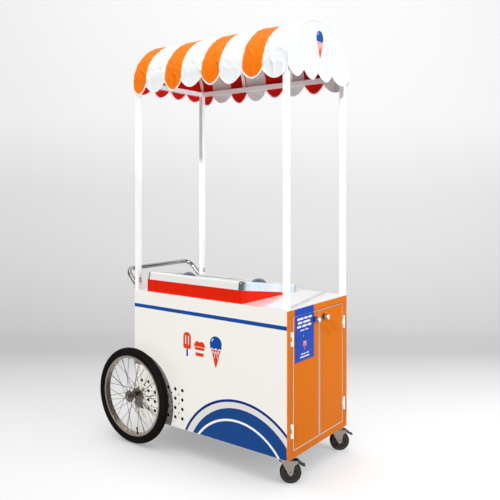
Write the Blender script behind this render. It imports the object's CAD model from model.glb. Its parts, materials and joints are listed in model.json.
"""Ice cream cart: looks for the CAD pieces, a striped cloth canopy, tyres, film signs, a studio.

Z is up. The cabinet lies along X with its doors at +X; its right side is -Y, its left +Y.
The main wheels stand near -X. Cart measures are millimetres from the cabinet's middle;
row_point turns them into scene metres. Film outlines are in metres, from the same middle.
"""
import json
import math
import random
import bpy
import bmesh
import numpy as np
from mathutils import Matrix, Vector, noise

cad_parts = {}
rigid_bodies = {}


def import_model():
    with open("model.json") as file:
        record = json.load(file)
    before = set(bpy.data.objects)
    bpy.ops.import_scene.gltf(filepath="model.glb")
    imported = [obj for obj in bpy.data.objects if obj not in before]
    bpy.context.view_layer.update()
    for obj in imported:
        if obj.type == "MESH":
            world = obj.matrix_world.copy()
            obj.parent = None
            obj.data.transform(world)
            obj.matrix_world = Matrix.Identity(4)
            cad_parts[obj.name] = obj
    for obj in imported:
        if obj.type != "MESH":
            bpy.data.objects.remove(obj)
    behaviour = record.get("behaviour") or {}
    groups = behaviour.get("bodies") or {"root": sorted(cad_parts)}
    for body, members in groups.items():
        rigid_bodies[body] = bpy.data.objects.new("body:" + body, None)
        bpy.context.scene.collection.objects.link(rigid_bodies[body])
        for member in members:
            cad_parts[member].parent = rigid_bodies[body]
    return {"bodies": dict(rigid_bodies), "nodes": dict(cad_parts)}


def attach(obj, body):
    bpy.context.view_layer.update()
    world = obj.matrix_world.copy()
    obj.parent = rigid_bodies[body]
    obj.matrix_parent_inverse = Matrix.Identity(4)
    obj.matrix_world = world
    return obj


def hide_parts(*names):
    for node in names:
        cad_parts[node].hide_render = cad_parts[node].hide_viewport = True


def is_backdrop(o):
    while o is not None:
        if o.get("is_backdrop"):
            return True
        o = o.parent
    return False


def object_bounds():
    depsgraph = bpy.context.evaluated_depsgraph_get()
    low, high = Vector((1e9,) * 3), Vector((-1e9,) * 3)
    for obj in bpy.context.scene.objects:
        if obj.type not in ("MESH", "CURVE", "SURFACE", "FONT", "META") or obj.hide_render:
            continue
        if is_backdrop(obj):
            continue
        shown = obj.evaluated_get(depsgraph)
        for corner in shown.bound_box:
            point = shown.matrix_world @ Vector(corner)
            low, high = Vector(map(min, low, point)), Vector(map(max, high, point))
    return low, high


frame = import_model()
cad_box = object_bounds()
scene = bpy.context.scene
random.seed(7)
kept = {o.name for o in list(frame["nodes"].values()) + list(frame["bodies"].values())}
for obj in list(bpy.data.objects):
    if obj.name not in kept and obj.name in ("Cube", "Light", "Camera"):
        bpy.data.objects.remove(obj)

# ------------------------------------------------------------------ cart measures
MM = 0.001
CABINET_X = 0.0844           # middle of the cabinet along X, metres
CABINET_HALF_LENGTH = 0.5    # metres, along X
CABINET_HALF_WIDTH = 0.285   # metres, along Y
AXLE_X, WHEEL_Y, AXLE_Z = -452, 342, 254    # middle of a main wheel, mm


def row_point(x, y, z):
    """Cart millimetres to scene metres."""
    return Vector((x * MM + CABINET_X, y * MM, z * MM))


# ------------------------------------------------------------------ shader helpers
MAT = {}    # finished materials by name
BSDF_INPUTS = dict(
    color="Base Color", rough="Roughness", metal="Metallic", normal="Normal",
    coat="Coat Weight", coat_rough="Coat Roughness", sheen="Sheen Weight",
    sheen_rough="Sheen Roughness", ior="IOR", transmission="Transmission Weight",
    specular="Specular IOR Level")


def linear(text):
    """'#rrggbb' to linear rgba."""
    parts = [int(text[i:i + 2], 16) / 255 for i in (1, 3, 5)]
    return tuple(v / 12.92 if v <= 0.04045 else ((v + 0.055) / 1.055) ** 2.4
                 for v in parts) + (1.0,)


def dark(color, factor):
    return tuple(v * factor for v in color[:3]) + (1.0,)


def pale(color, gains, lift=0.0):
    return tuple(min(1, v * gain + lift) for v, gain in zip(color, gains)) + (1,)


class Shader:
    """The nodes of one material; textures read object coordinates unless given a source."""

    def __init__(self, name):
        self.name = name
        self.material = bpy.data.materials.new(name)
        self.material.use_nodes = True
        self.nodes = self.material.node_tree.nodes
        self.links = self.material.node_tree.links
        self.bsdf = self.nodes["Principled BSDF"]
        self.coords = self.nodes.new("ShaderNodeTexCoord").outputs["Object"]

    def feed(self, socket, value):
        if isinstance(value, bpy.types.NodeSocket):
            self.links.new(value, socket)
        else:
            socket.default_value = value

    def node(self, kind, inputs, **settings):
        made = self.nodes.new(kind)
        for key, value in settings.items():
            setattr(made, key, value)
        for key, value in inputs.items():
            self.feed(made.inputs[key], value)
        return made

    def mapping(self, scale=(1, 1, 1), turn=(0, 0, 0)):
        inputs = {0: self.coords, "Scale": scale, "Rotation": turn}
        return self.node("ShaderNodeMapping", inputs).outputs[0]

    def noise(self, scale, detail=3, rough=0.5, source=None):
        inputs = {"Vector": source or self.coords, "Scale": scale, "Detail": detail,
                  "Roughness": rough}
        return self.node("ShaderNodeTexNoise", inputs).outputs["Fac"]

    def wave(self, scale, direction, source=None):
        inputs = {"Vector": source or self.coords, "Scale": scale}
        return self.node("ShaderNodeTexWave", inputs, bands_direction=direction).outputs["Fac"]

    def math(self, operation, first, second):
        return self.node("ShaderNodeMath", {0: first, 1: second}, operation=operation).outputs[0]

    def remap(self, value, span, to):
        """Span of the value carried linearly to another span, clamped."""
        inputs = {"Value": value, "From Min": span[0], "From Max": span[1],
                  "To Min": to[0], "To Max": to[1]}
        return self.node("ShaderNodeMapRange", inputs).outputs[0]

    def patches(self, span, to, **noise_settings):
        return self.remap(self.noise(**noise_settings), span, to)

    def mix(self, factor, first, second):
        inputs = {0: factor, 6: first, 7: second}
        return self.node("ShaderNodeMix", inputs, data_type="RGBA").outputs[2]

    def axis(self, index, source=None):
        return self.node("ShaderNodeSeparateXYZ", {0: source or self.coords}).outputs[index]

    def bevel(self, radius):
        return self.node("ShaderNodeBevel", {"Radius": radius}, samples=4).outputs[0]

    def bump(self, height, strength, distance, normal=None):
        inputs = {"Strength": strength, "Distance": distance, "Height": height}
        if normal is not None:
            inputs["Normal"] = normal
        return self.node("ShaderNodeBump", inputs).outputs[0]

    def output(self, shader_socket):
        self.links.new(shader_socket, self.nodes["Material Output"].inputs[0])

    def finish(self, **inputs):
        for key, value in inputs.items():
            self.feed(self.bsdf.inputs[BSDF_INPUTS[key]], value)
        MAT[self.name] = self.material


# ------------------------------------------------------------------ kinds of material
def paint(name, color, rough, coat, peel, dirt, specular=0.5, edge=0.0009, grime=None,
          end_tint=None):
    """Painted sheet: orange peel, faint mottling, uneven gloss, soft edges.

    grime is (full below z, none above z, strength); end_tint is (from x, color, color)."""
    mat = Shader(name)
    base = linear(color)
    tone = mat.mix(mat.patches(scale=2.2, detail=4, rough=0.55, span=(0.35, 0.7), to=(0.0, dirt)),
                   base, dark(base, 0.78))
    tone = mat.mix(mat.patches(scale=38, detail=5, rough=0.6, span=(0.45, 0.75),
                               to=(0.0, dirt * 0.8)), tone, dark(base, 0.88))
    if end_tint is not None:
        start, first, second = end_tint
        beyond = mat.remap(mat.axis(0), span=(start - 0.0004, start + 0.0004), to=(0.0, 1.0))
        blend = mat.patches(scale=3.0, detail=3, rough=0.5, source=mat.mapping(scale=(1, 4, 1)),
                            span=(0.35, 0.65), to=(0.0, 1.0))
        tone = mat.mix(beyond, tone, mat.mix(blend, linear(first), linear(second)))
    if grime is not None:
        low = mat.remap(mat.axis(2), span=grime[:2], to=(1.0, 0.0))
        spots = mat.patches(scale=55, detail=6, rough=0.7, span=(0.42, 0.68), to=(0.0, 1.0))
        amount = mat.math("MULTIPLY", mat.math("MULTIPLY", low, spots), grime[2])
        tone = mat.mix(amount, tone, linear("#8d8373"))
    gloss = mat.patches(scale=7, detail=5, rough=0.62, source=mat.mapping(scale=(1.0, 1.0, 0.35)),
                        span=(0.3, 0.75), to=(rough - 0.05, rough + 0.09))
    orange_peel = mat.bump(mat.noise(scale=260, detail=2), strength=peel, distance=0.0006,
                           normal=mat.bevel(edge))
    waviness = mat.bump(mat.noise(scale=5.5, detail=2), strength=0.05, distance=0.01,
                        normal=orange_peel)
    mat.finish(color=tone, rough=gloss, normal=waviness, coat=coat, coat_rough=0.12,
               specular=specular)


def metal(name, color, rough, strength, grain=(1, 1, 1), spangle=0.0, edge=0.0006, scratch=0.3):
    """Bare metal: streaks along the grain, optional zinc spangle, dull spots."""
    mat = Shader(name)
    base = linear(color)
    streak = mat.noise(scale=30, detail=4, rough=0.6, source=mat.mapping(scale=grain))
    tone = mat.mix(mat.remap(streak, span=(0.3, 0.7), to=(0.0, 0.25)), base, dark(base, 0.72))
    if spangle:
        cells = mat.node("ShaderNodeTexVoronoi", {"Vector": mat.mapping(), "Scale": 130})
        flake = mat.axis(0, cells.outputs["Color"])
        tone = mat.mix(mat.remap(flake, span=(0, 1), to=(0.0, spangle)), tone, dark(base, 0.6))
    gloss = mat.math(
        "ADD", mat.remap(streak, span=(0.3, 0.7), to=(rough - 0.05, rough + 0.10)),
        mat.patches(scale=90, detail=5, rough=0.7, span=(0.55, 0.8), to=(0.0, scratch * 0.3)))
    relief = mat.bump(streak, strength=strength, distance=0.0004, normal=mat.bevel(edge))
    mat.finish(color=tone, rough=gloss, metal=1.0, normal=relief)


def plastic(name, color, rough, grain, strength, coat=0.0, edge=0.001):
    """Moulded plastic with a fine grain; grain is the noise scale."""
    mat = Shader(name)
    base = linear(color)
    tone = mat.mix(mat.patches(scale=14, detail=4, rough=0.6, span=(0.35, 0.75), to=(0.0, 0.3)),
                   base, dark(base, 0.7))
    gloss = mat.patches(scale=26, detail=5, rough=0.65, span=(0.3, 0.75),
                        to=(rough - 0.06, rough + 0.14))
    relief = mat.bump(mat.noise(scale=grain, detail=3, rough=0.6), strength=strength,
                      distance=0.0004, normal=mat.bevel(edge))
    mat.finish(color=tone, rough=gloss, normal=relief, coat=coat, coat_rough=0.1)


def rubber(name, color):
    """Dusty rubber with raised edges worn brown."""
    mat = Shader(name)
    dust = mat.patches(scale=60, detail=6, rough=0.7, span=(0.5, 0.8), to=(0.0, 0.10))
    tone = mat.mix(dust, linear(color), linear("#3a3530"))
    stain = mat.patches(scale=8, span=(0.4, 0.7), to=(0.0, 0.2))
    tone = mat.mix(stain, tone, linear("#1c1815"))
    pointiness = mat.node("ShaderNodeNewGeometry", {}).outputs["Pointiness"]
    worn = mat.remap(pointiness, span=(0.505, 0.60), to=(0.0, 0.6))
    tone = mat.mix(worn, tone, linear("#5a4d42"))
    relief = mat.bump(mat.noise(scale=900, rough=0.7), strength=0.25, distance=0.0003,
                      normal=mat.bevel(0.0006))
    gloss = mat.patches(scale=30, detail=4, rough=0.6, span=(0.3, 0.7), to=(0.5, 0.74))
    mat.finish(color=tone, rough=gloss, normal=relief, specular=0.07)


def glass(name):
    """Clear lid glass, faintly smeared."""
    mat = Shader(name)
    smear = mat.patches(scale=6, detail=6, rough=0.65, source=mat.mapping(scale=(1, 3, 1)),
                        span=(0.45, 0.75), to=(0.02, 0.16))
    relief = mat.bump(mat.noise(scale=3, detail=2), strength=0.02, distance=0.004,
                      normal=mat.bevel(0.0008))
    mat.finish(color=linear("#e8f2f4"), rough=smear, transmission=0.92, ior=1.5, normal=relief)


def fabric(name, color, through=0.10, thread=1150.0, soil=0.05, specular=0.2):
    """Plain-woven cloth with slubs, fading and creases; through is the share of light let in."""
    mat = Shader(name)
    warp = mat.wave(scale=thread, direction="X")
    weft = mat.wave(scale=thread, direction="DIAGONAL", source=mat.mapping(scale=(0, 1.4, 1.4)))
    weave = mat.math("MULTIPLY", warp, weft)
    slub = mat.noise(scale=380, detail=4, rough=0.65)
    base = linear(color)
    fade = mat.patches(scale=3.3, detail=4, rough=0.55, span=(0.3, 0.72), to=(0.0, 0.35))
    tone = mat.mix(fade, base, pale(base, gains=(1.05, 1.12, 1.2)))
    dirt = mat.patches(scale=26, detail=6, rough=0.7, span=(0.55, 0.8), to=(0.0, soil))
    tone = mat.mix(dirt, tone, linear("#8c8275"))
    tone = mat.mix(mat.remap(weave, span=(0.0, 0.5), to=(0.10, 0.0)), tone, dark(base, 0.72))
    height = mat.math("ADD", mat.math("MULTIPLY", weave, 0.6), mat.math("MULTIPLY", slub, 0.5))
    crease = mat.noise(scale=11, detail=5, rough=0.6,
                       source=mat.mapping(scale=(1.0, 1.0, 0.45), turn=(0, 0.5, 0)))
    relief = mat.bump(crease, strength=0.60, distance=0.012,
                      normal=mat.bump(height, strength=0.28, distance=0.0006))
    gloss = mat.remap(slub, span=(0.3, 0.7), to=(0.5, 0.7))
    mat.finish(color=tone, rough=gloss, normal=relief, sheen=0.12, sheen_rough=0.4,
               specular=specular)
    glow = mat.node("ShaderNodeBsdfTranslucent", {0: tone})
    blend = mat.node("ShaderNodeMixShader",
                     {0: through, 1: mat.bsdf.outputs[0], 2: glow.outputs[0]})
    mat.output(blend.outputs[0])


def vinyl(name, color, rough=0.3):
    """Printed vinyl film: slight silvering and ink mottle."""
    mat = Shader(name)
    base = linear(color)
    mottle = mat.patches(scale=120, rough=0.6, span=(0.4, 0.7), to=(0.0, 0.10))
    tone = mat.mix(mottle, base, dark(base, 0.8))
    silvering = mat.patches(scale=4, span=(0.35, 0.7), to=(0.0, 0.15))
    tone = mat.mix(silvering, tone, pale(base, gains=(1.15, 1.15, 1.12), lift=0.004))
    ripple = mat.bump(mat.noise(scale=14), strength=0.05, distance=0.003)
    relief = mat.bump(mat.noise(scale=320, detail=2), strength=0.08, distance=0.0004,
                      normal=ripple)
    gloss = mat.patches(scale=22, detail=4, rough=0.6, span=(0.3, 0.75),
                        to=(rough - 0.04, rough + 0.1))
    mat.finish(color=tone, rough=gloss, normal=relief, coat=0.04, coat_rough=0.15, specular=0.12)


def stitch_thread():
    mat = Shader("thread")
    twist = mat.wave(scale=2400, direction="DIAGONAL")
    mat.finish(color=mat.mix(twist, linear("#f2efe8"), linear("#cfc8bb")), rough=0.7,
               normal=mat.bump(twist, strength=0.4, distance=0.0003))


# ------------------------------------------------------------------ materials
paint("white_panel", "#f7f5ee", rough=0.36, coat=0.12, peel=0.10, dirt=0.05, specular=0.35,
      grime=(0.12, 0.26, 0.22))
paint("white_plain", "#fcfcfb", rough=0.30, coat=0.2, peel=0.08, dirt=0.03, specular=0.4)
paint("worktop_white", "#f6f6f3", rough=0.16, coat=0.5, peel=0.05, dirt=0.03)
paint("door_orange", "#ec7a00", rough=0.34, coat=0.03, peel=0.10, dirt=0.07, specular=0.06)
paint("chest_red", "#e22000", rough=0.28, coat=0.05, peel=0.08, dirt=0.08, specular=0.06)
paint("frame_black", "#141416", rough=0.45, coat=0.1, peel=0.25, dirt=0.2, specular=0.3)
metal("galvanised", "#aeb4b8", rough=0.38, strength=0.05, spangle=0.35)
metal("stainless", "#b4b2b0", rough=0.14, strength=0.03, grain=(1, 1, 40), scratch=0.25)
metal("zinc", "#9d968c", rough=0.28, strength=0.10, scratch=0.5)
metal("rim_metal", "#a3968a", rough=0.27, strength=0.05)
metal("hub_metal", "#6f665d", rough=0.22, strength=0.05, scratch=0.4)
metal("spoke_metal", "#57514b", rough=0.3, strength=0.03)
paint("white_frame", "#e6e6e4", rough=0.18, coat=0.5, peel=0.04, dirt=0.03, edge=0.0012,
      end_tint=(0.2964, "#c3d7ec", "#dce8f4"))
plastic("corner_grey", "#565c64", rough=0.14, grain=300, strength=0.05, coat=0.8)
plastic("foam", "#efe0a4", rough=0.8, grain=900, strength=0.8)
plastic("caster_plastic", "#161618", rough=0.42, grain=700, strength=0.25)
plastic("caster_core", "#1d1d1f", rough=0.38, grain=600, strength=0.2)
plastic("knob_black", "#0a0a0b", rough=0.2, grain=500, strength=0.05, coat=0.6)
metal("knob_chrome", "#e4e6ea", rough=0.05, strength=0.01, scratch=0.1, edge=0.0012)
metal("trim_grey", "#d6d4ce", rough=0.32, strength=0.05, grain=(1, 1, 30))
plastic("grip_grey", "#47586b", rough=0.24, grain=500, strength=0.06, coat=0.6, edge=0.0015)
rubber("tyre_rubber", "#060505")
rubber("caster_rubber", "#101011")
glass("lid_glass")
fabric("cloth_orange", "#f07602", through=0.06, specular=0.08)
fabric("cloth_white", "#e5e6e7", through=0.035)
fabric("cloth_orange_in", "#e01402", through=0.20, specular=0.08)
fabric("cloth_white_in", "#f2eeea", through=0.24)
fabric("piping", "#fcfcfc", thread=2200.0, soil=0.02)
vinyl("vinyl_blue", "#04489f")
vinyl("vinyl_navy", "#0d4387")
vinyl("vinyl_edge", "#00267a")
vinyl("vinyl_white", "#f7f6f2")
vinyl("vinyl_grey", "#e4e1dd")
vinyl("vinyl_orange", "#e23c06")
vinyl("poster_blue", "#0b4cc4", rough=0.24)

# CAD pieces by material; a name ending in _ stands for its _right and _left pieces
PIECES = {
    "frame_black": "base_frame cooling_unit",
    "galvanised": "floor_panel chest_bearers tub_shell",
    "white_panel": "side_panel_ rear_panel axle_plates",
    "worktop_white": "worktop",
    "door_orange": "door_surround door_panel_",
    "chest_red": "chest_plinth",
    "foam": "tub_insulation",
    "stainless": "tub_liner push_handle hinge_pins",
    "white_frame": "lid_frame",
    "corner_grey": "lid_frame_corners",
    "zinc": "handle_bolts wheel_fasteners wheel_axle_ caster_plates caster_bolts caster_fork_",
    "white_plain": "canopy_posts canopy_rails canopy_hoops hinge_frame_leaves door_hinge_",
    "cloth_orange": "canopy_cover",
    "tyre_rubber": "tyre_",
    "rim_metal": "rim_",
    "spoke_metal": "spokes_",
    "hub_metal": "hub_",
    "caster_rubber": "caster_tread_",
    "caster_core": "caster_core_",
    "caster_plastic": "brake_pedal_",
    "trim_grey": "door_trim_",
    "knob_black": "knob_base_",
    "knob_chrome": "knob_",
    "lid_glass": "lid_glass_rear lid_glass_front",
    "grip_grey": "lid_grip_rear lid_grip_front",
}
piece_material = {}
for material_name, pieces in PIECES.items():
    for piece in pieces.split():
        for ending in ("right", "left") if piece.endswith("_") else ("",):
            piece_material[piece + ending] = MAT[material_name]
for piece, node in frame["nodes"].items():
    node.data.materials.clear()
    node.data.materials.append(piece_material[piece])


# ------------------------------------------------------------------ mesh helpers
def add_object(name, data):
    obj = bpy.data.objects.new(name, data)
    scene.collection.objects.link(obj)
    return obj


def mesh_object(name, points, faces, materials, indices=None, smooth=True):
    mesh = bpy.data.meshes.new(name)
    mesh.from_pydata([tuple(p) for p in points], [], [tuple(int(i) for i in f) for f in faces])
    for material in materials:
        mesh.materials.append(material)
    if indices is not None:
        mesh.polygons.foreach_set("material_index", np.asarray(indices, np.int32))
    if smooth:
        mesh.polygons.foreach_set("use_smooth", np.ones(len(mesh.polygons), bool))
    mesh.update()
    return add_object(name, mesh)


def grid_faces(rows, columns, close_rows=False, close_columns=False):
    """Quads of a vertex grid indexed [row * columns + column]."""
    row, column = np.meshgrid(np.arange(rows if close_rows else rows - 1),
                              np.arange(columns if close_columns else columns - 1),
                              indexing="ij")
    next_row, next_column = (row + 1) % rows, (column + 1) % columns
    corners = [row * columns + column, next_row * columns + column,
               next_row * columns + next_column, row * columns + next_column]
    return np.stack(corners, -1).reshape(-1, 4)


def directions(points):
    steps = np.gradient(points, axis=0)
    return steps / np.linalg.norm(steps, axis=1)[:, None]


def lofted(name, points, rings, sides, material):
    """Closed skin over rings of points, capped at both ends."""
    faces = [list(f) for f in grid_faces(rings, sides, close_columns=True)]
    faces.append(list(range(sides))[::-1])
    faces.append([(rings - 1) * sides + j for j in range(sides)])
    return mesh_object(name, points, faces, [material])


def tube(name, path, radius, material, sides):
    path = np.array([tuple(p) for p in path], float)
    points = []
    across = None
    for centre, along in zip(path, directions(path)):
        if across is None:
            upward = np.array([0.0, 0, 1.0])
            reference = upward if abs(along @ upward) < 0.9 else np.array([1.0, 0, 0])
            across = np.cross(along, reference)
        else:
            across = across - along * (across @ along)
        across /= np.linalg.norm(across)
        third = np.cross(along, across)
        for j in range(sides):
            angle = 2 * math.pi * j / sides
            points.append(centre + radius * (math.cos(angle) * across + math.sin(angle) * third))
    return lofted(name, points, len(path), sides, material)


def join(parts, name):
    """One smooth object from several, keeping their materials."""
    joined = bmesh.new()
    materials = []
    for part in parts:
        slots = []
        for material in part.data.materials:
            if material not in materials:
                materials.append(material)
            slots.append(materials.index(material))
        start = len(joined.faces)
        joined.from_mesh(part.data)
        joined.faces.ensure_lookup_table()
        for face in joined.faces[start:]:
            face.material_index = slots[face.material_index]
    mesh = bpy.data.meshes.new(name)
    joined.to_mesh(mesh)
    joined.free()
    for material in materials:
        mesh.materials.append(material)
    for part in parts:
        bpy.data.objects.remove(part)
    obj = add_object(name, mesh)
    for polygon in mesh.polygons:
        polygon.use_smooth = True
    return obj


# ------------------------------------------------------------------ canopy cloth, mm
HALF_LENGTH, HALF_WIDTH = 505.0, 287.0
SPRING = 1950.0         # height where the vault springs from the hanging valances
NOTCH = 1925.0          # height of the notches between scallops
# The vault section is a crown arc between two tighter haunch arcs.
HAUNCH_R, RISE = 190.0, 240.0
HAUNCH_Y = HALF_WIDTH - HAUNCH_R
HAUNCH_ANGLE = math.pi / 2 - 2 * math.atan((RISE - HAUNCH_R) / HAUNCH_Y)
CROWN_R = HAUNCH_R + HAUNCH_Y / math.cos(HAUNCH_ANGLE)
CROWN_DROP = HAUNCH_Y * math.tan(HAUNCH_ANGLE)      # crown centre below the springing
HAUNCH_ARC = HAUNCH_R * HAUNCH_ANGLE
CROWN_ARC = CROWN_R * (math.pi - 2 * HAUNCH_ANGLE)
ARCH_LENGTH = 2 * HAUNCH_ARC + CROWN_ARC

SEAMS = [-505, -408, -270, -153, -15, 103, 241, 361, 505]   # x of the stripe edges
HOOPS = [-490, -166, 166, 487]                              # x of the hoops
BAY_LIFT = [4, 0, 3, -3, 2, 0, 3, 5]                        # small lift of each scallop
NOTCH_LIFT = [-6, 10, 16, 12, 17, 11, 14, 9, 4]             # each notch above NOTCH
BAY_PUSH = [2.0, 4.5, -1.5, 5.0, 1.0, 6.0, 2.5, 3.5]        # outward belly of each scallop
SIDE_SHIFT = 37         # the +Y side takes its folds from this far along X

COLUMN_STEP = 3.0
VALANCE_ROWS = 22
VAULT_ROWS = 200
ROWS = 2 * VALANCE_ROWS + VAULT_ROWS


def arch(share):
    """Section at a share of its length, from -Y to +Y: (y, z, normal y, normal z)."""
    run = share * ARCH_LENGTH
    if run < HAUNCH_ARC:
        y, z, radius, angle = -HAUNCH_Y, SPRING, HAUNCH_R, math.pi - run / HAUNCH_R
    elif run > HAUNCH_ARC + CROWN_ARC:
        y, z, radius = HAUNCH_Y, SPRING, HAUNCH_R
        angle = HAUNCH_ANGLE - (run - HAUNCH_ARC - CROWN_ARC) / HAUNCH_R
    else:
        y, z, radius = 0.0, SPRING - CROWN_DROP, CROWN_R
        angle = math.pi - HAUNCH_ANGLE - (run - HAUNCH_ARC) / CROWN_R
    normal_y, normal_z = math.cos(angle), math.sin(angle)
    return y + radius * normal_y, z + radius * normal_z, normal_y, normal_z


def scallop(share, drop):
    """Depth across one scallop: slanting sides that round into the low point."""
    bow = max(math.sin(math.pi * min(1.0, max(0.0, share))), 0.0)
    return drop * (0.85 * bow ** 0.62 + 0.15 * bow ** 1.5)


def bay_at(x):
    """Bay index, bay width and share of the way across it."""
    bay = next((i for i in range(8) if x <= SEAMS[i + 1] + 1e-6), 7)
    width = SEAMS[bay + 1] - SEAMS[bay]
    return bay, width, (x - SEAMS[bay]) / width


def hem_height(x, side):
    bay, width, share = bay_at(x)
    if side < 0:
        pattern = bay
        start, end = NOTCH_LIFT[bay], NOTCH_LIFT[bay + 1]
    else:
        pattern = (bay * 5 + 3) % 8
        start, end = NOTCH_LIFT[8 - bay] * 0.8, NOTCH_LIFT[7 - bay] * 0.8
    drop = (0.5 + 0.06 * (pattern % 3)) * 100 / width * 0.95
    return (NOTCH + start + (end - start) * share - scallop(share, drop) * width
            + 2.0 * BAY_LIFT[pattern] * 0.3 * math.sin(math.pi * share))


def ripple(x, y, z):
    return noise.noise(Vector((x, y, z)))


def ridges(phase, power):
    """Narrow ridges where the sine of the phase crosses zero."""
    return (1 - abs(math.sin(phase))) ** power


def cloth_offset(x, run):
    """Outward offset of the vault; run is the length along the cloth from the springing."""
    sag = 0.0
    for start, end in zip(HOOPS[:-1], HOOPS[1:]):
        if start <= x <= end:
            sag = -3.2 * math.sin(math.pi * (x - start) / (end - start)) ** 2
    to_seam = min(abs(x - seam) for seam in SEAMS)
    pucker = (0.55 * math.sin(run / 7.5 + 2.0 * ripple(x * 0.004, run * 0.01, 1))
              * math.exp(-(to_seam / 11.0) ** 2))
    seam_ridge = 0.9 * math.exp(-(to_seam / 2.6) ** 2)
    # creases are strongest low down and fade over 260 mm
    low = max(0.0, 1.0 - run / 260.0)
    crease = 3.6 * ripple(x * 0.012 + run * 0.010, run * 0.018 - x * 0.004, 3.7) * (0.35 + low)
    fine = 1.9 * ripple(x * 0.035 + run * 0.05, run * 0.03, 9.1) * (0.2 + low)
    # two sets of sharp slanting folds
    bend = 2.5 * ripple(x * 0.004, run * 0.006, 5)
    slant = 4.2 * ridges((x + run * 0.8) * 0.021 + bend, 5) * (0.25 + 0.9 * low)
    bend = 2.0 * ripple(x * 0.006, run * 0.008, 15)
    slant += 3.0 * ridges((x * 0.8 - run) * 0.034 + bend, 7) * (0.1 + low)
    # the cloth can't sink through the hoops or the rails
    to_hoop = min(abs(x - hoop) for hoop in HOOPS)
    hoop_limit = -2.2 - max(0.0, to_hoop - 14) * 0.35
    rail_limit = -1.6 - max(0.0, run - 45) * 0.2
    return max(sag + pucker + seam_ridge + crease + fine + slant, hoop_limit, rail_limit)


def valance_push(x, fall, side):
    """Outward push of a valance; fall is 0 at the springing and 1 at the hem."""
    bay, _, share = bay_at(x)
    belly = math.sin(math.pi * share)
    push = BAY_PUSH[(bay + (0 if side < 0 else 3)) % 8]
    return (fall * fall * (push * belly + 2.2 * ripple(x * 0.02, side * 3.0, 7.7))
            + 1.5 * fall * (1 - belly))


def canopy_column(x):
    """Points over the canopy at one x, from the -Y hem to the +Y hem."""
    points = []
    hem = hem_height(x, -1)
    offset = cloth_offset(x, 0)
    for j in range(VALANCE_ROWS):
        fall = 1 - j / VALANCE_ROWS
        out = offset * (1 - 0.5 * fall)
        points.append((x, -HALF_WIDTH - out - valance_push(x, fall, -1),
                       SPRING + (hem - SPRING) * fall))
    for j in range(VAULT_ROWS):
        share = j / (VAULT_ROWS - 1)
        y, z, normal_y, normal_z = arch(share)
        run = share * ARCH_LENGTH
        run = min(run, ARCH_LENGTH - run)
        out = cloth_offset(x, run)
        if share > 0.5:
            # blend into the +Y side's own folds just past the crown
            blend = min(1.0, (share - 0.5) / 0.06)
            out = cloth_offset(x + SIDE_SHIFT, run) * 0.9 * blend + out * (1 - blend)
        points.append((x, y + normal_y * out, z + normal_z * out))
    hem = hem_height(x, 1)
    offset = cloth_offset(x + SIDE_SHIFT, 0) * 0.9
    for j in range(VALANCE_ROWS):
        fall = (j + 1) / VALANCE_ROWS
        out = offset * (1 - 0.5 * fall)
        # the last 65 mm towards +X curls out and up
        curl = 16.0 * ((x - 440) / 65.0) ** 2 * fall * fall if x > 440 else 0.0
        points.append((x, HALF_WIDTH + out + valance_push(x, fall, 1) + curl,
                       SPRING + (hem - SPRING) * fall + curl * 0.55))
    return points


column_x = []
for start, end in zip(SEAMS[:-1], SEAMS[1:]):
    steps = max(8, int(round((end - start) / COLUMN_STEP)))
    column_x += list(np.linspace(start, end, steps, endpoint=False))
column_x = np.array(column_x + [SEAMS[-1]])
vault_points = np.array([canopy_column(x) for x in column_x])     # [column, row, xyz]

# outer orange, outer white, then the same two for the inside
CLOTHS = [MAT[key] for key in ("cloth_orange", "cloth_white", "cloth_orange_in", "cloth_white_in")]
stripes = [bay_at(x)[0] % 2 for x in (column_x[:-1] + column_x[1:]) / 2]
vault = mesh_object("canopy_vault", [row_point(*p) for p in vault_points.reshape(-1, 3)],
                    grid_faces(len(column_x), ROWS), CLOTHS, np.repeat(stripes, ROWS - 1))

GABLE_COLUMNS = 230
GABLE_ROWS = 120
GABLE_NOTCHES = {1: [-HALF_WIDTH, -150, -22, 118, HALF_WIDTH],
                 -1: [-HALF_WIDTH, -143, 0, 143, HALF_WIDTH]}     # y, by end
GABLE_LIFT = [2, 8, 12, 8, 0]               # extra height of each notch
GABLE_DROP = [0.40, 0.44, 0.40, 0.34]       # depth of each scallop
GABLE_PUSH = [0.7, 1.2, 0.8, 1.0]           # outward belly of each scallop


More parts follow.
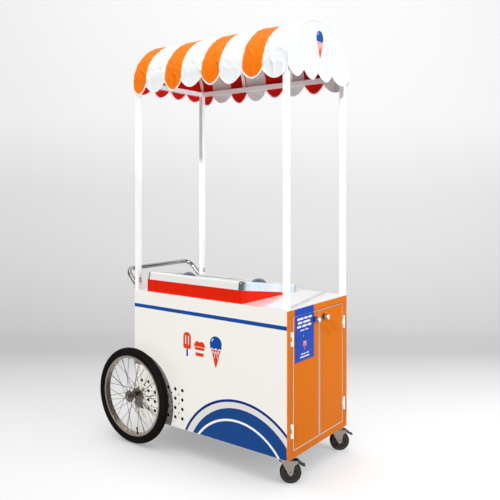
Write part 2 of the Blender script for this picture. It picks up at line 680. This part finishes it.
def gable(sign, name, cloth):
    """End cloth at sign * X: the vault's edge above, its own scallops below."""
    edge = vault_points[0 if sign < 0 else -1][VALANCE_ROWS:VALANCE_ROWS + VAULT_ROWS]
    edge = edge[np.argsort(edge[:, 1])]
    notches = GABLE_NOTCHES[sign]
    points = []
    for i in range(GABLE_COLUMNS):
        y = -HALF_WIDTH + 2 * HALF_WIDTH * i / (GABLE_COLUMNS - 1)
        # columns crowd at the sides, where the arch is steep
        crowded = HALF_WIDTH * math.sin(math.pi / 2 * (2 * i / (GABLE_COLUMNS - 1) - 1))
        y = crowded * 0.35 + y * 0.65
        y = max(-HALF_WIDTH + 0.4, min(HALF_WIDTH - 0.4, y))
        top = float(np.interp(y, edge[:, 1], edge[:, 2]))
        bay = sum(1 for notch in notches[1:-1] if y > notch)
        width = notches[bay + 1] - notches[bay]
        share = (y - notches[bay]) / width
        hem = (NOTCH + 9 + GABLE_LIFT[bay] * (1 - share) + GABLE_LIFT[bay + 1] * share
               - scallop(share, GABLE_DROP[bay] * 118 / width) * width)
        for j in range(GABLE_ROWS):
            rise = j / (GABLE_ROWS - 1)
            z = hem + (top - hem) * rise
            # belly, two scales of ripple, and upright folds that fade towards the arch
            out = (3.2 * math.sin(math.pi * min(1, max(0, (z - NOTCH) / 250)))
                   * (1 - (y / HALF_WIDTH) ** 2))
            out += 1.3 * ripple(y * 0.022, z * 0.006, 2.0 + sign)
            out += 0.8 * ripple(y * 0.05 + z * 0.02, z * 0.03, 5.0)
            bend = 1.5 * ripple(y * 0.006, z * 0.006, 8)
            out += 1.1 * ridges(y * 0.024 + bend, 6) * (1 - rise)
            if z < SPRING:
                low = (SPRING - z) / 70.0
                out += low * low * 9 * GABLE_PUSH[bay] * math.sin(math.pi * share)
            top_fade = min(1.0, (top - z) / 26.0)
            side_fade = min(1.0, (HALF_WIDTH - abs(y)) / 14.0)
            out = out * top_fade * max(0.25, side_fade)
            points.append((sign * (HALF_LENGTH + 0.2) + sign * out, y, z))
    faces = grid_faces(GABLE_COLUMNS, GABLE_ROWS)
    if sign < 0:
        faces = faces[:, ::-1]
    obj = mesh_object(name, [row_point(*p) for p in points], faces, CLOTHS,
                      np.full(len(faces), cloth))
    return obj, np.array(points).reshape(GABLE_COLUMNS, GABLE_ROWS, 3)


gable_front, front_points = gable(1, "canopy_gable_front", cloth=1)
gable_rear, rear_points = gable(-1, "canopy_gable_rear", cloth=0)

canopy = join([vault, gable_front, gable_rear], "canopy_cloth")
thickness = canopy.modifiers.new("thick", "SOLIDIFY")
thickness.thickness = 0.0012
thickness.offset = -1.0
thickness.use_rim = True
thickness.material_offset = 2       # the inner skin takes the inside cloths
thickness.material_offset_rim = 0
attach(canopy, "cabinet")
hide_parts("canopy_cover")

# ------------------------------------------------------------------ canopy piping
TAPE_HALF_WIDTH, TAPE_HALF_THICK, TAPE_SIDES = 3.3, 1.5, 12     # mm
WELT_R, WELT_SIDES = 0.0020, 8                                  # metres


def binding(hem_points, outward):
    """Flat tape folded over a hem; outward is the cloth's normal."""
    outward = np.array(outward, float)
    path = np.array([p - outward * 0.6 + (0, 0, 1.2) for p in hem_points])
    across = np.cross(directions(path), outward)
    across /= np.linalg.norm(across, axis=1)[:, None]
    points = []
    for i, centre in enumerate(path):
        for j in range(TAPE_SIDES):
            angle = 2 * math.pi * j / TAPE_SIDES
            cos, sin = math.cos(angle), math.sin(angle)
            width = TAPE_HALF_WIDTH * np.sign(cos) * abs(cos) ** 0.7
            height = (TAPE_HALF_THICK * np.sign(sin) * abs(sin) ** 0.8
                      * (1 + 0.12 * math.sin(i * 0.9)))
            points.append(row_point(*(centre + across[i] * width + outward * height)))
    return lofted("binding", points, len(path), TAPE_SIDES, MAT["piping"])


pipes = [binding(vault_points[:, 0], (0, -1, 0)),
         binding(vault_points[:, -1], (0, 1, 0)),
         binding(front_points[:, 0], (1, 0, 0)),
         binding(rear_points[:, 0], (-1, 0, 0))]
# round welts along both gable seams
for column, sign in ((0, -1), (-1, 1)):
    welt_path = [row_point(x + sign * 0.6, y, z) for x, y, z in vault_points[column]]
    pipes.append(tube("welt", welt_path, WELT_R, MAT["piping"], WELT_SIDES))
piping = join(pipes, "canopy_piping")
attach(piping, "cabinet")

# ------------------------------------------------------------------ canopy stitches
STITCH_PITCH, STITCH_LENGTH = 5.0, 3.2      # mm
STITCH_HALF_WIDTH = 0.00045                 # metres
stitch_points, stitch_faces = [], []


def stitch(start, end, normal):
    """A short raised stitch, two quads long."""
    start, end, normal = np.array(start), np.array(end), np.array(normal)
    across = np.cross((end - start) / np.linalg.norm(end - start), normal)
    across /= np.linalg.norm(across)
    first = len(stitch_points)
    for centre, height in ((start, 0.0), ((start + end) / 2, 0.0007), (end, 0.0)):
        for side in (-1, 1):
            stitch_points.append(centre + across * side * STITCH_HALF_WIDTH
                                 + normal * (height + 0.0001))
    for j in (first, first + 2):
        stitch_faces.append((j, j + 1, j + 3, j + 2))


def stitch_line(line, normal_at):
    lengths = np.linalg.norm(np.diff(line, axis=0), axis=1)
    run = np.concatenate([[0], np.cumsum(lengths)])
    for begin in np.arange(3, run[-1] - 4, STITCH_PITCH):
        start, end = ([np.interp(place, run, line[:, axis]) for axis in range(3)]
                      for place in (begin, begin + STITCH_LENGTH))
        stitch(row_point(*start), row_point(*end), normal_at(start))


def arch_normal(point):
    """Rough outward normal over the vault."""
    normal = np.array([0.0, point[1], max(0.0, point[2] - SPRING)])
    return normal / np.linalg.norm(normal)


for seam in SEAMS[1:-1]:
    column = int(np.argmin(abs(column_x - seam)))
    for beside in (-1, 1):
        stitch_line(vault_points[column + beside], arch_normal)
for side, row in ((-1, 3), (1, ROWS - 4)):
    stitch_line(vault_points[:, row], lambda point: (0, side, 0))
stitch_thread()
stitches = mesh_object("canopy_stitching", stitch_points, stitch_faces, [MAT["thread"]],
                       smooth=False)
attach(stitches, "cabinet")


# ------------------------------------------------------------------ main wheels
TYRE_R, TYRE_SECTION_R = 229.0, 24.8    # mm, middle of the section and its own radius
RIM_EDGE_R = 213.9                      # the tyre never comes inside this radius
TREAD_BLOCKS = 200
RIM_R = 202
SPOKE_SWEEP = 62                        # degrees a spoke turns from hub to rim
SPOKES_PER_SET = 9


def tyre(name, side, body, node):
    around = 840
    across = 84
    turn, roll = np.meshgrid(np.linspace(0, 2 * math.pi, around, endpoint=False),
                             np.linspace(0, 2 * math.pi, across, endpoint=False),
                             indexing="ij")
    from_middle = np.abs(TYRE_SECTION_R * np.sin(roll))
    outward = np.cos(roll)
    tread = outward > 0.28
    block = (turn * TREAD_BLOCKS / (2 * math.pi) + from_middle * 0.045) % 1.0
    grooves = (np.abs(from_middle - 6.0) < 1.1) | (np.abs(from_middle - 14.0) < 1.0)
    middle_cuts = (from_middle < 5.0) & ~(from_middle < 2.0) & (((block + 0.5) % 1.0) < 0.22)
    relief = np.zeros_like(turn)
    relief = np.where(tread & grooves, -1.5, relief)
    relief = np.where(tread & (from_middle > 6.8) & (block < 0.30), -1.4, relief)
    relief = np.where(tread & middle_cuts, -0.9, relief)
    relief = np.where(~tread & (outward > -0.45), 0.35 * np.sin(roll * 60), relief)
    radius = np.maximum(TYRE_R + (TYRE_SECTION_R + relief) * outward, RIM_EDGE_R)
    y = (TYRE_SECTION_R + relief) * np.sin(roll)
    # the bead narrows to sit in the rim
    y = np.where(outward < -0.58, np.sign(np.sin(roll)) * np.minimum(np.abs(y), 20.0), y)
    points = np.stack([radius * np.cos(turn) + AXLE_X, y + side * WHEEL_Y,
                       radius * np.sin(turn) + AXLE_Z], -1).reshape(-1, 3)
    obj = mesh_object(name, [row_point(*p) for p in points],
                      grid_faces(around, across, True, True), [MAT["tyre_rubber"]])
    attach(obj, body)
    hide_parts(node)


def cylinder(start, end, radius, sides):
    """Points and faces of a capped cylinder."""
    along = (end - start).normalized()
    across = along.orthogonal().normalized()
    third = along.cross(across)
    points = []
    for centre in (start, end):
        for j in range(sides):
            angle = 2 * math.pi * j / sides
            points.append(centre + (across * math.cos(angle) + third * math.sin(angle)) * radius)
    faces = [(j, (j + 1) % sides, sides + (j + 1) % sides, sides + j) for j in range(sides)]
    faces.append(tuple(range(sides))[::-1])
    faces.append(tuple(range(sides, 2 * sides)))
    return points, faces


def cylinders_object(name, parts, material, body):
    points, faces = [], []
    for part_points, part_faces in parts:
        first = len(points)
        points += part_points
        faces += [tuple(i + first for i in face) for face in part_faces]
    obj = mesh_object(name, points, faces, [material], smooth=False)
    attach(obj, body)


def spoke_nipples(side):
    """A nipple on the rim end of every spoke."""
    def wheel_point(v):     # the wheel's own z is the cart's -Y
        return row_point(v.x + AXLE_X, -v.z + side * WHEEL_Y, v.y + AXLE_Z)

    parts = []
    for face in (-1, 1):
        # sweep sign, distance from the wheel's middle plane at hub and rim, start degrees
        for lean, hub_z, rim_z, offset in ((-1, 25.4, 4.6, 0), (1, 29.8, 9, 10)):
            for i in range(SPOKES_PER_SET):
                stagger = 0 if face > 0 else 180 / SPOKES_PER_SET
                start = i * 360 / SPOKES_PER_SET + stagger + offset
                end = math.radians(start + lean * SPOKE_SWEEP)
                start = math.radians(start)
                hub = Vector((25 * math.cos(start), 25 * math.sin(start), face * hub_z))
                rim = Vector((RIM_R * math.cos(end), RIM_R * math.sin(end), face * rim_z))
                along = (rim - hub).normalized()
                parts.append(cylinder(wheel_point(rim - along * 14),
                                      wheel_point(rim - along * 0.5), radius=0.0021, sides=8))
    return parts


def valve_stem(side):
    """Stem, cap and nut, pointing at the hub from the foot of the rim."""
    angle = math.radians(280)

    def valve_point(radius):
        return row_point(radius * math.cos(angle) + AXLE_X, side * WHEEL_Y,
                         radius * math.sin(angle) + AXLE_Z)
    # outer end and inner end in mm from the axle, thickness radius in metres, sides
    sections = ((RIM_R, 176, 0.0034, 12), (184, 170, 0.0048, 12), (201, 198, 0.0060, 6))
    return [cylinder(valve_point(outer), valve_point(inner), radius, sides)
            for outer, inner, radius, sides in sections]


metal("nipple_brass", "#b9b3a6", rough=0.25, strength=0.05)
for side_name, side in (("right", -1), ("left", 1)):
    body = "main_wheel_" + side_name
    tyre("tyre_tread_" + side_name, side, body, "tyre_" + side_name)
    cylinders_object("spoke_nipples_" + side_name, spoke_nipples(side), MAT["nipple_brass"],
                     body)
    cylinders_object("valve_stem_" + side_name, valve_stem(side), MAT["caster_plastic"],
                     body)


# ------------------------------------------------------------------ film: places and outlines
FILM = 0.0004       # thickness of a film, metres
PRINT = 0.0002      # thickness of the small white shapes laid over a film


# Places take u along the panel, v up and w outwards, all in metres.
def on_right(u, v, w):
    return Vector((u + CABINET_X, -CABINET_HALF_WIDTH - w, v))


def on_left(u, v, w):
    return Vector((u + CABINET_X, CABINET_HALF_WIDTH + w, v))


def on_door(u, v, w):
    return Vector((CABINET_HALF_LENGTH + CABINET_X + w, u, v))


def on_cloth(u, v, w):
    """Proud of the +X gable cloth."""
    column = int(np.argmin(abs(front_points[:, 0, 1] - u / MM)))
    near = front_points[max(0, column - 1):column + 2]
    surface = max(float(np.interp(v / MM, line[:, 2], line[:, 0])) for line in near)
    return Vector((surface * MM + CABINET_X + w + 0.0002, u, v))


def lifted(place, lift):
    return lambda u, v, w: place(u, v, w + lift)


def plate(name, outline, place, thickness, material, body, cell=None):
    """Thin flat piece; cell cuts it into squares so it can follow a curved place."""
    curve = bpy.data.curves.new(name, "CURVE")
    curve.dimensions = "2D"
    curve.fill_mode = "BOTH"
    curve.extrude = thickness / 2
    spline = curve.splines.new("POLY")
    spline.points.add(len(outline) - 1)
    for point, (u, v) in zip(spline.points, outline):
        point.co = (u, v, 0, 1)
    spline.use_cyclic_u = True
    filled = add_object(name + "_tmp", curve)
    depsgraph = bpy.context.evaluated_depsgraph_get()
    mesh = bpy.data.meshes.new_from_object(filled.evaluated_get(depsgraph))
    bpy.data.objects.remove(filled)
    shape = bmesh.new()
    shape.from_mesh(mesh)
    if cell:
        for axis, normal in enumerate((Vector((1, 0, 0)), Vector((0, 1, 0)))):
            spread = [v.co[axis] for v in shape.verts]
            for cut in np.arange(min(spread) + cell, max(spread), cell):
                bmesh.ops.bisect_plane(
                    shape, geom=shape.verts[:] + shape.edges[:] + shape.faces[:],
                    plane_co=normal * float(cut), plane_no=normal)
    for vert in shape.verts:
        vert.co = place(vert.co.x, vert.co.y, vert.co.z + thickness / 2)
    bmesh.ops.remove_doubles(shape, verts=shape.verts, dist=1e-6)
    bmesh.ops.recalc_face_normals(shape, faces=shape.faces)
    shape.to_mesh(mesh)
    shape.free()
    mesh.materials.clear()
    mesh.materials.append(MAT[material])
    mesh.name = name
    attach(add_object(name, mesh), body)


def metres(outline):
    return [(u * MM, v * MM) for u, v in outline]


def rectangle(u0, v0, u1, v1):
    return metres([(u0, v0), (u1, v0), (u1, v1), (u0, v1)])


def arc(u, v, radius, start, end, steps):
    """Points along an arc, angles in degrees."""
    angles = [math.radians(start + (end - start) * i / steps) for i in range(steps + 1)]
    return [(u + radius * math.cos(a), v + radius * math.sin(a)) for a in angles]


def rounded_bar(u, v, width, height, radius, top_radius=None):
    """Rounded rectangle about (u, v); top_radius rounds the upper corners differently."""
    top = radius if top_radius is None else top_radius
    outline = []
    for u_sign, v_sign, corner, start in ((1, 1, top, 0), (-1, 1, top, 90),
                                          (-1, -1, radius, 180), (1, -1, radius, 270)):
        outline += arc(u + u_sign * (width / 2 - corner), v + v_sign * (height / 2 - corner),
                       corner, start, start + 90, 8)
    return metres(outline)


# ------------------------------------------------------------------ stripes and side arcs
PANEL_END_X, PANEL_FOOT_Z = 496.5, 126.0    # mm, limits of the films
for name, place in (("stripe_right", on_right), ("stripe_left", on_left)):
    plate(name, rectangle(-499, 720.5, PANEL_END_X, 739.5), place, FILM, "vinyl_blue", "cabinet")


def circle_through(first, second, third):
    """Centre and radius of the circle through three points."""
    (ax, ay), (bx, by), (cx, cy) = first, second, third
    a2, b2, c2 = ax * ax + ay * ay, bx * bx + by * by, cx * cx + cy * cy
    scale = 2 * (ax * (by - cy) + bx * (cy - ay) + cx * (ay - by))
    x = (a2 * (by - cy) + b2 * (cy - ay) + c2 * (ay - by)) / scale
    y = (a2 * (cx - bx) + b2 * (ax - cx) + c2 * (bx - ax)) / scale
    return x, y, math.hypot(ax - x, ay - y)


def ring_outline(x, z, inner, outer, steps=160):
    """Ring between two radii, or a dome if inner is 0, clipped to the panel."""
    def sweep_arc(radius):
        angles = [math.pi * (1.25 - 1.5 * i / steps) for i in range(steps + 1)]
        return [(x + radius * math.cos(a), z + radius * math.sin(a)) for a in angles]

    outline = sweep_arc(outer) + (sweep_arc(inner)[::-1] if inner > 0 else [])
    for axis, limit, sign in ((1, PANEL_FOOT_Z, 1), (0, PANEL_END_X, -1)):
        clipped = []
        for start, end in zip(outline, outline[1:] + outline[:1]):
            start_in = sign * start[axis] >= sign * limit
            end_in = sign * end[axis] >= sign * limit
            if start_in:
                clipped.append(start)
            if start_in != end_in:
                part = (limit - start[axis]) / (end[axis] - start[axis])
                clipped.append((start[0] + part * (end[0] - start[0]),
                                start[1] + part * (end[1] - start[1])))
        outline = clipped
    return metres(outline)


def ring(name, circle, band, material, thickness=FILM, lift=0.0):
    """Band mm wide inside the circle; a negative band fills all inside that width."""
    x, z, radius = circle
    if band > 0:
        outline = ring_outline(x, z, radius - band, radius)
    else:
        outline = ring_outline(x, z, 0, radius + band)
    plate(name, outline, lifted(on_right, lift), thickness, material, "cabinet")


outer_circle = circle_through((-127, 126), (149, 339), (498, 243))
fill_circle = circle_through((-68, 132), (162, 298), (496, 183))
line_circle = circle_through((-20, 150), (165, 246), (458, 128))
ring("arc_line", outer_circle, 13, "vinyl_edge")
ring("arc_ground", outer_circle, -13, "vinyl_grey")
ring("arc_fill_edge", fill_circle, 4, "vinyl_edge", lift=FILM)
ring("arc_fill", fill_circle, -4, "vinyl_navy", lift=FILM)
ring("arc_white", line_circle, 11, "vinyl_white", thickness=0.0003, lift=2 * FILM)


# ------------------------------------------------------------------ signs
def cone_sign(u, v, scale, place, body, tag, film=FILM, cell=None):
    """Waffle cone with one scoop; (u, v) is the middle of the cone's mouth."""
    def part(name, outline, lift, thickness, material):
        outline = metres([(u + a * scale, v + b * scale) for a, b in outline])
        plate("sign_%s" % name, outline, lifted(place, lift), thickness, material, body, cell)

    cone = [(-21, 2), (21, 2), (3.2, -55), (1.2, -58), (-1.2, -58), (-3.2, -55)]
    part("cone_" + tag, cone, 0.0, film, "vinyl_orange")
    lines = []
    for a in (-10, 1.5, 13):
        foot, tip = (-30, -27) if a < 5 else (-18, -15)
        lines.append([(a - 1, 1.5), (a + 1, 1.5), (a - 9.5, foot), (a - 11, tip)])
    for a in (-13, -1.5, 10):
        foot, tip = (-30, -27) if a > -5 else (-18, -15)
        lines.append([(a + 11, tip), (a + 9.5, foot), (a - 1, 1.5), (a + 1, 1.5)])
    for i, outline in enumerate(lines):
        part("waffle_%s_%d" % (tag, i), outline, film, PRINT, "vinyl_white")
    radius = 26.0
    scoop = []
    for i in range(120):
        angle = 2 * math.pi * i / 120
        x, y = radius * math.cos(angle), 22 + radius * math.sin(angle)
        if math.sin(angle) < -0.35:     # wavy lower edge
            y = 22 - radius * 0.62 - 4.5 * abs(math.sin(x / radius * math.pi * 1.5)) + 2
        scoop.append((x, y))
    part("scoop_" + tag, scoop, film * 0.5, film, "vinyl_blue")
    shine = arc(-9, 31, 8.5, 100, 200, 20) + arc(-9, 31, 5.5, 200, 100, 20)
    part("shine_" + tag, shine, film * 1.5, PRINT, "vinyl_white")


def lolly_sign(u, v, scale, place, body, tag):
    def part(name, across, up, sizes, lift, thickness, material):
        outline = rounded_bar(u + across * scale, v + up * scale, *(s * scale for s in sizes))
        plate("lolly_%s_%s" % (name, tag), outline, lifted(place, lift), thickness, material, body)

    # sizes are width, height, corner radius and, where it differs, upper corner radius
    part("stick", 0, -56, (13, 44, 6), 0.0, FILM, "vinyl_blue")
    part("body", 0, 12, (56, 92, 8, 27), FILM, FILM, "vinyl_orange")
    for i, across in enumerate((-11, 11)):
        part("rib_%d" % i, across, 14, (6, 50, 2.9), 2 * FILM, PRINT, "vinyl_white")


def cup_sign(u, v, scale, place, body, tag):
    """Tub with a white band, a rim and two scoops."""
    def part(name, outline, lift, thickness, material):
        plate("cup_%s_%s" % (name, tag), outline, lifted(place, lift), thickness, material, body)

    def tapered(top_half, top, foot_half, foot):
        return metres([(u - top_half * scale, v + top * scale),
                       (u - foot_half * scale, v + foot * scale),
                       (u + foot_half * scale, v + foot * scale),
                       (u + top_half * scale, v + top * scale)])

    for i, across in enumerate((-18, 18)):
        scoop = metres(arc(u + across * scale, v + 12 * scale, 24 * scale, 0, 180, 40))
        part("scoop_%d" % i, scoop, i * FILM, FILM, "vinyl_orange")
    rim = rounded_bar(u, v + 7 * scale, 96 * scale, 10 * scale, 4 * scale)
    part("rim", rim, 2 * FILM, FILM, "vinyl_orange")
    part("body", tapered(41, -2, 31, -58), 0.0, FILM, "vinyl_orange")
    part("band", tapered(38.4, -20, 35.5, -36), FILM, PRINT, "vinyl_white")


cone_sign(78, 566, 1.45, on_right, "cabinet", "side")
lolly_sign(-112, 578, 0.92, on_right, "cabinet", "side")
cup_sign(-28, 566, 0.80, on_right, "cabinet", "side")
cone_sign(-8, 2078, 1.25, on_cloth, "cabinet", "gable", film=0.0005, cell=0.005)

# ------------------------------------------------------------------ poster, parted above the door
POSTER_Y = (-223, -52)
POSTER_THICK = 0.0014
# height, bar height, (y from, y to) of each bar
POSTER_BARS = [
    (757, 10, [(-205, -150), (-143, -112), (-105, -72)]),
    (739, 10, [(-198, -158), (-151, -88)]),
    (721, 10, [(-206, -168), (-161, -120), (-113, -78)]),
    (702, 5, [(-178, -140), (-135, -104)]),
    (590, 5, [(-172, -128), (-123, -100)]),
    (576, 6, [(-180, -96)]),
]
for name, foot, top, body in (("poster_top", 776.2, 807.5, "cabinet"),
                              ("poster_low", 558, 774.2, "door_right")):
    plate(name, rectangle(POSTER_Y[0], foot, POSTER_Y[1], top), on_door, POSTER_THICK,
          "poster_blue", body)
on_poster = lifted(on_door, POSTER_THICK)
cone_sign(-137, 648, 0.78, on_poster, "door_right", "poster", film=0.0003)
for row, (z, height, spans) in enumerate(POSTER_BARS):
    for i, (y0, y1) in enumerate(spans):
        bar = rounded_bar((y0 + y1) / 2, z, y1 - y0, height, height * 0.42)
        plate("poster_bar_%d_%d" % (row, i), bar, on_poster, PRINT, "vinyl_white", "door_right")

# ------------------------------------------------------------------ camera
heading = math.radians(37.78)       # turn of the view about Z
tilt = math.radians(0.11)           # downward tilt
back = Vector((math.sin(heading) * math.cos(tilt), -math.cos(heading) * math.cos(tilt),
               math.sin(tilt)))
right = Vector((math.cos(heading), math.sin(heading), 0))
up = back.cross(right)
eye = row_point(2070.0, -2718.0, 1368.0)
camera_data = bpy.data.cameras.new("camera")
camera = add_object("camera", camera_data)
camera.matrix_world = Matrix([(right[i], up[i], back[i], eye[i]) for i in range(3)]
                             + [(0, 0, 0, 1)])
camera_data.sensor_width = 36
camera_data.lens = 45.6768
camera_data.shift_x = 0.0346
camera_data.shift_y = -0.1202
camera_data.clip_end = 60
scene.camera = camera

# ------------------------------------------------------------------ studio sweep, metres
COVE_START, COVE_R, BACKDROP_TOP = 5.2, 1.3, 6.5    # distance from the eye, radius, height
SWEEP_COLUMNS = 40
# glow of the sweep: drop below eye level per metre of distance, level
GLOW = [
    (-0.55, 0.94), (-0.27, 0.915), (-0.11, 0.905), (-0.016, 0.81), (0.10, 0.725), (0.22, 0.61),
    (0.2365, 0.57), (0.2554, 0.578), (0.2743, 0.66), (0.2932, 0.735), (0.3121, 0.79),
    (0.3310, 0.84), (0.3625, 0.885), (0.3941, 0.91), (0.4414, 0.925), (0.60, 0.93),
]
GLOW_OFFSET = -0.235
forward = Vector((-math.sin(heading), math.cos(heading), 0))
ground = Vector((eye.x, eye.y, 0))      # point of the floor under the camera


def sweep_profile():
    """(distance, height) from the floor behind the camera, through the cove, up the backdrop."""
    profile = [(t, 0.0) for t in np.linspace(-6.5, 2.5, 12)]
    profile += [(t, 0.0) for t in np.linspace(2.5, COVE_START, 50)[1:]]
    profile += [(COVE_START + COVE_R * math.sin(t), COVE_R - COVE_R * math.cos(t))
                for t in np.linspace(0, math.pi / 2, 50)[1:]]
    profile += [(COVE_START + COVE_R, t) for t in np.linspace(COVE_R, BACKDROP_TOP, 40)[1:]]
    return profile


def sweep_material():
    mat = Shader("studio_sweep")
    tone = mat.mix(mat.patches(scale=0.35, span=(0.3, 0.7), to=(0.0, 0.4)),
                   (0.49, 0.49, 0.49, 1), (0.48, 0.48, 0.482, 1))
    glow = mat.node("ShaderNodeAttribute", {}, attribute_name="glow").outputs["Fac"]
    # the glow fades where the cart stands close over the floor
    nearness = mat.node("ShaderNodeAmbientOcclusion", {"Distance": 0.7}, samples=8)
    fade = mat.remap(nearness.outputs["AO"], span=(0.1, 0.85), to=(0.42, 1.0))
    mat.feed(mat.bsdf.inputs["Emission Color"], (1, 1, 1, 1))
    mat.feed(mat.bsdf.inputs["Emission Strength"], mat.math("MULTIPLY", glow, fade))
    mat.finish(color=tone, rough=0.9, specular=0.0,
               normal=mat.bump(mat.noise(scale=60), strength=0.02, distance=0.001))
    # clear from behind, so the cart can be viewed from every side
    backfacing = mat.node("ShaderNodeNewGeometry", {}).outputs["Backfacing"]
    clear = mat.node("ShaderNodeBsdfTransparent", {}).outputs[0]
    see_through = mat.node("ShaderNodeMixShader",
                           {0: backfacing, 1: mat.bsdf.outputs[0], 2: clear})
    mat.output(see_through.outputs[0])


def studio_sweep():
    """Floor running up into a backdrop, square to the camera."""
    points, glows = [], []
    profile = sweep_profile()
    for distance, height in profile:
        drop = (eye.z - height) / max(distance, 1.2)
        level = float(np.interp(drop, *zip(*GLOW)))
        for across in np.linspace(-11, 11, SWEEP_COLUMNS):
            point = ground + forward * distance + right * across
            points.append((point.x, point.y, height - 0.0005))
            glows.append(max(0.0, level + GLOW_OFFSET)
                         * (1 + 0.03 * max(-1.0, min(1.0, across / 2.0))))
    sweep = mesh_object("studio_sweep", points,
                        grid_faces(len(profile), SWEEP_COLUMNS)[:, ::-1], [])
    attribute = sweep.data.attributes.new("glow", "FLOAT", "POINT")
    attribute.data.foreach_set("value", np.array(glows, np.float32))
    sweep_material()
    sweep.data.materials.append(MAT["studio_sweep"])
    sweep.visible_diffuse = False       # keeps its light out of the cart's own shadows
    sweep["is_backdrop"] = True


studio_sweep()


# ------------------------------------------------------------------ lights
def area(name, location, target, size, power, color=(1, 1, 1)):
    data = bpy.data.lights.new(name, "AREA")
    data.shape = "RECTANGLE"
    data.size = size
    data.size_y = size
    data.energy = power
    data.color = color
    light = add_object(name, data)
    light.location = location
    toward = Vector(target) - light.location
    light.rotation_euler = toward.to_track_quat("-Z", "Y").to_euler()
    light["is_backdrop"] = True
    return light


def receivers(name, chosen):
    """Collection of the mesh objects whose names are chosen, for light linking."""
    collection = bpy.data.collections.new(name)
    for obj in scene.objects:
        if obj.type == "MESH" and chosen(obj.name):
            collection.objects.link(obj)
    return collection


cart_middle = Vector((0.1, 0, 1.0))
area("soft_top", location=Vector((0.4, -0.6, 4.6)), target=(0.1, -0.2, 0.0), size=4.6, power=70)
area("fill_front", location=cart_middle + back * 4.6 - right * 0.6 + Vector((0, 0, 0.9)),
     target=cart_middle, size=2.6, power=8)
area("fill_right", location=cart_middle + right * 3.0 + back * 1.6 + Vector((0, 0, 0.5)),
     target=cart_middle, size=2.2, power=67, color=(0.98, 0.99, 1.0))
area("backdrop", location=ground + forward * 4.6 + Vector((0, 0, 5.4)),
     target=ground + forward * 6.6 + Vector((0, 0, 1.6)), size=5.0, power=34)

# hard key from -Y, a little towards +X and about 33 degrees up; it falls on the cart only
key_data = bpy.data.lights.new("key", "SUN")
key_data.energy = 2.74
key_data.angle = math.radians(3.2)
key_data.color = (1.0, 0.995, 0.985)
key = add_object("key", key_data)
key.location = (0.9, -4.0, 3.6)
key.rotation_euler = Vector((-0.2, 1.0, -0.66)).to_track_quat("-Z", "Y").to_euler()
key.light_linking.receiver_collection = receivers(
    "key_receivers", lambda name: name != "studio_sweep")

# two low fills for the canopy, one towards its +X end and one from below
canopy_objects = receivers(
    "canopy_receivers", lambda name: any(word in name for word in ("canopy", "gable", "hoop")))
canopy_fill = area("canopy_fill", location=Vector((4.4, -1.3, 0.9)), target=(0.1, 0, 2.0),
                   size=1.6, power=58)
canopy_fill.light_linking.receiver_collection = canopy_objects
under_fill = area("under_canopy", location=Vector((0.08, -0.12, 1.3)),
                  target=(0.08, 0.34, 1.92), size=0.8, power=2.4)
under_fill.light_linking.receiver_collection = canopy_objects
under_fill.visible_camera = False
key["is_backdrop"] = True

# ------------------------------------------------------------------ world and view
world = bpy.data.worlds.new("studio")
scene.world = world
world.use_nodes = True
background = world.node_tree.nodes["Background"]
background.inputs["Color"].default_value = (0.97, 0.98, 1.0, 1)
background.inputs["Strength"].default_value = 0.15
scene.view_settings.view_transform = "Standard"
scene.view_settings.look = "None"
scene.view_settings.exposure = 0.0
scene.view_settings.gamma = 1.0

visual_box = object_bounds()


def plain(box):
    return [list(map(float, v)) if hasattr(v, "__len__") else float(v) for v in box]


{"cad": plain(cad_box), "visual": plain(visual_box)}
